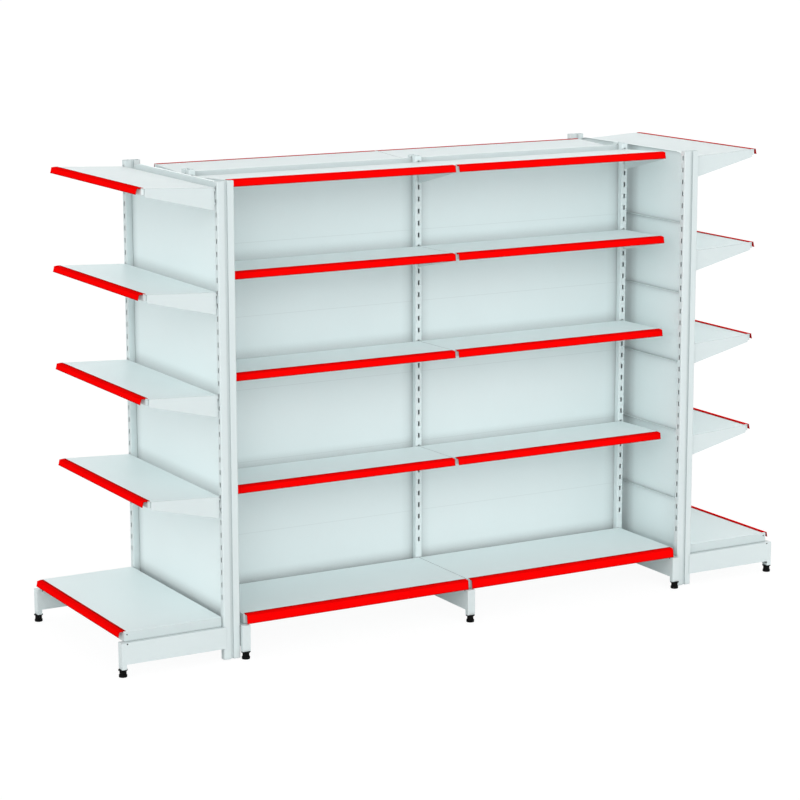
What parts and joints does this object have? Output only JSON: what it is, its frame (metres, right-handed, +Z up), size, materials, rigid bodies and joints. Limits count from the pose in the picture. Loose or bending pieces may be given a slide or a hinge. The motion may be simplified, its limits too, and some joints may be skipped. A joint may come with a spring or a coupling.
{
  "type": "gondola shelving",
  "caption": "Double-sided shop gondola: tilted folded shelves on brackets hung in slotted uprights, red price rails, one-sided bays across both ends, levelling feet.",
  "frame": {"origin": "on the floor under the middle upright, at the middle of the run", "axes": "+X along the run to the right end bay, +Y from the front to the rear, +Z up"},
  "size_m": [3.123, 0.959, 1.885],
  "materials": {
    "white_powder_coat": "smooth satin powder coat, off-white with a cool tint",
    "red_plastic": "extruded rigid plastic, glossy bright red",
    "black_plastic": "moulded plastic, matte black"
  },
  "bodies": {
    "frame": {"end_back_panels": "white_powder_coat", "end_base_legs": "white_powder_coat", "end_price_rails": "red_plastic", "end_shelf_brackets": "white_powder_coat", "front_left_base_shelf": "white_powder_coat", "front_left_shelf_1": "white_powder_coat", "front_left_shelf_2": "white_powder_coat", "front_left_shelf_3": "white_powder_coat", "front_left_shelf_4": "white_powder_coat", "front_price_rails": "red_plastic", "front_right_base_shelf": "white_powder_coat", "front_right_shelf_1": "white_powder_coat", "front_right_shelf_2": "white_powder_coat", "front_right_shelf_3": "white_powder_coat", "front_right_shelf_4": "white_powder_coat", "front_shelf_brackets": "white_powder_coat", "joining_plates": "white_powder_coat", "left_end_base_shelf": "white_powder_coat", "left_end_front_upright": "white_powder_coat", "left_end_rear_upright": "white_powder_coat", "left_end_shelf_1": "white_powder_coat", "left_end_shelf_2": "white_powder_coat", "left_end_shelf_3": "white_powder_coat", "left_end_shelf_4": "white_powder_coat", "left_main_upright": "white_powder_coat", "main_back_panels": "white_powder_coat", "main_base_legs": "white_powder_coat", "middle_main_upright": "white_powder_coat", "rear_left_base_shelf": "white_powder_coat", "rear_left_shelf_1": "white_powder_coat", "rear_left_shelf_2": "white_powder_coat", "rear_left_shelf_3": "white_powder_coat", "rear_left_shelf_4": "white_powder_coat", "rear_price_rails": "red_plastic", "rear_right_base_shelf": "white_powder_coat", "rear_right_shelf_1": "white_powder_coat", "rear_right_shelf_2": "white_powder_coat", "rear_right_shelf_3": "white_powder_coat", "rear_right_shelf_4": "white_powder_coat", "rear_shelf_brackets": "white_powder_coat", "right_end_base_shelf": "white_powder_coat", "right_end_front_upright": "white_powder_coat", "right_end_rear_upright": "white_powder_coat", "right_end_shelf_1": "white_powder_coat", "right_end_shelf_2": "white_powder_coat", "right_end_shelf_3": "white_powder_coat", "right_end_shelf_4": "white_powder_coat", "right_main_upright": "white_powder_coat", "tie_rails": "white_powder_coat"},
    "left_end_front_foot_body": {"left_end_front_foot": "black_plastic"},
    "left_end_rear_foot_body": {"left_end_rear_foot": "black_plastic"},
    "left_main_front_foot_body": {"left_main_front_foot": "black_plastic"},
    "left_main_rear_foot_body": {"left_main_rear_foot": "black_plastic"},
    "middle_main_front_foot_body": {"middle_main_front_foot": "black_plastic"},
    "middle_main_rear_foot_body": {"middle_main_rear_foot": "black_plastic"},
    "right_end_front_foot_body": {"right_end_front_foot": "black_plastic"},
    "right_end_rear_foot_body": {"right_end_rear_foot": "black_plastic"},
    "right_main_front_foot_body": {"right_main_front_foot": "black_plastic"},
    "right_main_rear_foot_body": {"right_main_rear_foot": "black_plastic"}
  },
  "joints": [
    {"name": "left_end_front_foot_screw", "type": "slide", "parent": "frame", "child": "left_end_front_foot_body", "axis": [0, 0, -1], "range_m": [0, 0.02]},
    {"name": "left_end_rear_foot_screw", "type": "slide", "parent": "frame", "child": "left_end_rear_foot_body", "axis": [0, 0, -1], "range_m": [0, 0.02]},
    {"name": "left_main_front_foot_screw", "type": "slide", "parent": "frame", "child": "left_main_front_foot_body", "axis": [0, 0, -1], "range_m": [0, 0.02]},
    {"name": "left_main_rear_foot_screw", "type": "slide", "parent": "frame", "child": "left_main_rear_foot_body", "axis": [0, 0, -1], "range_m": [0, 0.02]},
    {"name": "middle_main_front_foot_screw", "type": "slide", "parent": "frame", "child": "middle_main_front_foot_body", "axis": [0, 0, -1], "range_m": [0, 0.02]},
    {"name": "middle_main_rear_foot_screw", "type": "slide", "parent": "frame", "child": "middle_main_rear_foot_body", "axis": [0, 0, -1], "range_m": [0, 0.02]},
    {"name": "right_end_front_foot_screw", "type": "slide", "parent": "frame", "child": "right_end_front_foot_body", "axis": [0, 0, -1], "range_m": [0, 0.02]},
    {"name": "right_end_rear_foot_screw", "type": "slide", "parent": "frame", "child": "right_end_rear_foot_body", "axis": [0, 0, -1], "range_m": [0, 0.02]},
    {"name": "right_main_front_foot_screw", "type": "slide", "parent": "frame", "child": "right_main_front_foot_body", "axis": [0, 0, -1], "range_m": [0, 0.02]},
    {"name": "right_main_rear_foot_screw", "type": "slide", "parent": "frame", "child": "right_main_rear_foot_body", "axis": [0, 0, -1], "range_m": [0, 0.02]}
  ]
}
